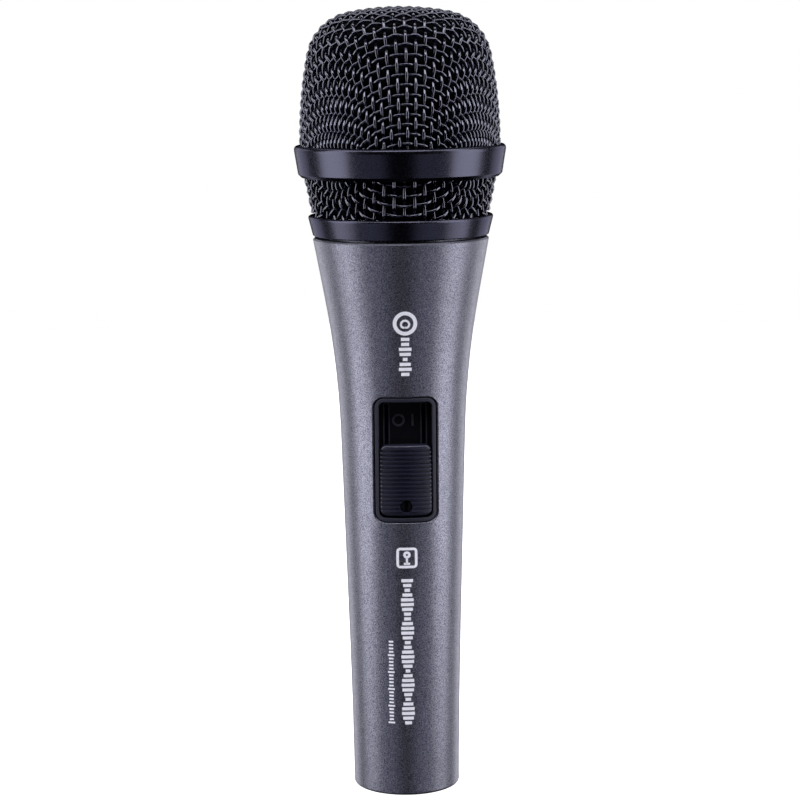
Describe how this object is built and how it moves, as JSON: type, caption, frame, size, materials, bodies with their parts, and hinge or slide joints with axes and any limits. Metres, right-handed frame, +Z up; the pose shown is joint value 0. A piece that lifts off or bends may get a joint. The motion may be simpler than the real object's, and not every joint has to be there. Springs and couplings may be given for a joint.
{
  "type": "dynamic microphone",
  "caption": "Handheld dynamic vocal microphone with a tapered metal handle, woven wire basket, slide switch and three-pin connector.",
  "frame": {"origin": "centre of the handle's flat end face, where the cable plugs in", "axes": "+Z up the microphone's axis towards the basket; the switch faces -Y; +X to the right seen from the switch side"},
  "size_m": [0.048, 0.048, 0.18],
  "materials": {
    "bobbin_plastic": "natural nylon",
    "capsule_plastic": "moulded glass-filled plastic",
    "carriage_plastic": "natural acetal",
    "carrier_metal": "turned",
    "chamber_plastic": "moulded",
    "circuit_board": "black-green solder mask on glass laminate",
    "coil_copper": "enamelled copper wire",
    "contact_plating": "gold plated",
    "diaphragm_film": "clear polyester film",
    "felt_cloth": "thin acoustic felt",
    "foam_black": "open-cell foam",
    "handle_paint": "fine metallic anthracite lacquer, satin",
    "insert_plastic": "moulded",
    "lead_bare": "PVC insulation",
    "lead_black": "PVC insulation",
    "lead_red": "PVC insulation",
    "magnet_nickel": "nickel plated neodymium",
    "magnet_steel": "zinc plated steel",
    "pin_metal": "nickel plated brass",
    "ring_lacquer": "semi-gloss black lacquer",
    "screw_steel": "zinc plated",
    "shock_rubber": "matt moulded",
    "switch_plastic": "moulded satin",
    "tray_plastic": "moulded satin",
    "wire_lacquer": "black lacquered woven steel wire"
  },
  "bodies": {
    "handle": {"handle_shell": "handle_paint", "capsule_carrier": "carrier_metal", "shock_mount": "shock_rubber", "switch_tray": "tray_plastic", "switch_board": "circuit_board", "board_tracks": "contact_plating", "board_screws": "screw_steel", "xlr_insert": "insert_plastic", "xlr_pin_1": "pin_metal", "xlr_pin_2": "pin_metal", "xlr_pin_3": "pin_metal", "xlr_ground_spring": "contact_plating", "xlr_set_screw": "screw_steel", "connector_lead_1": "lead_bare", "connector_lead_2": "lead_red", "connector_lead_3": "lead_black", "capsule_lead_red": "lead_red", "capsule_lead_black": "lead_black"},
    "switch_slider": {"switch_slider": "switch_plastic", "lock_screw": "tray_plastic", "slider_carriage": "carriage_plastic", "wiper_contact": "contact_plating"},
    "capsule": {"capsule_frame": "capsule_plastic", "magnet_cup": "magnet_steel", "magnet": "magnet_nickel", "pole_plate": "magnet_steel", "hum_coil_bobbin": "bobbin_plastic", "hum_coil_winding": "coil_copper", "front_cover": "capsule_plastic", "front_felt": "felt_cloth", "rear_chamber": "chamber_plastic", "chamber_foam": "foam_black", "terminal_board": "circuit_board", "capsule_terminals": "contact_plating"},
    "diaphragm": {"diaphragm": "diaphragm_film", "voice_coil": "coil_copper"},
    "foam_liner": {"foam_liner": "foam_black"},
    "grille": {"grille_dome": "wire_lacquer", "grille_band": "wire_lacquer", "waist_ring": "ring_lacquer", "base_ring": "ring_lacquer"}
  },
  "joints": [
    {"name": "switch_slide", "type": "slide", "parent": "handle", "child": "switch_slider", "axis": [0, 0, 1], "range_m": [0, 0.0095]},
    {"name": "grille_lift", "type": "slide", "parent": "handle", "child": "foam_liner", "axis": [0, 0, 1], "range_m": [0, 0.06]},
    {"name": "grille_unscrew", "type": "hinge", "parent": "foam_liner", "child": "grille", "pos_m": [0, 0, 0.1287], "axis": [0, 0, 1], "range_deg": [0, 1080]},
    {"name": "capsule_float", "type": "slide", "parent": "handle", "child": "capsule", "axis": [0, 0, 1], "range_m": [-0.0006, 0.0006], "stiffness_N_per_m": 5000, "springref_m": 0.0001, "deforming": ["shock_mount"]},
    {"name": "diaphragm_travel", "type": "slide", "parent": "capsule", "child": "diaphragm", "axis": [0, 0, 1], "range_m": [-0.0002, 0.0002], "stiffness_N_per_m": 300}
  ]
}
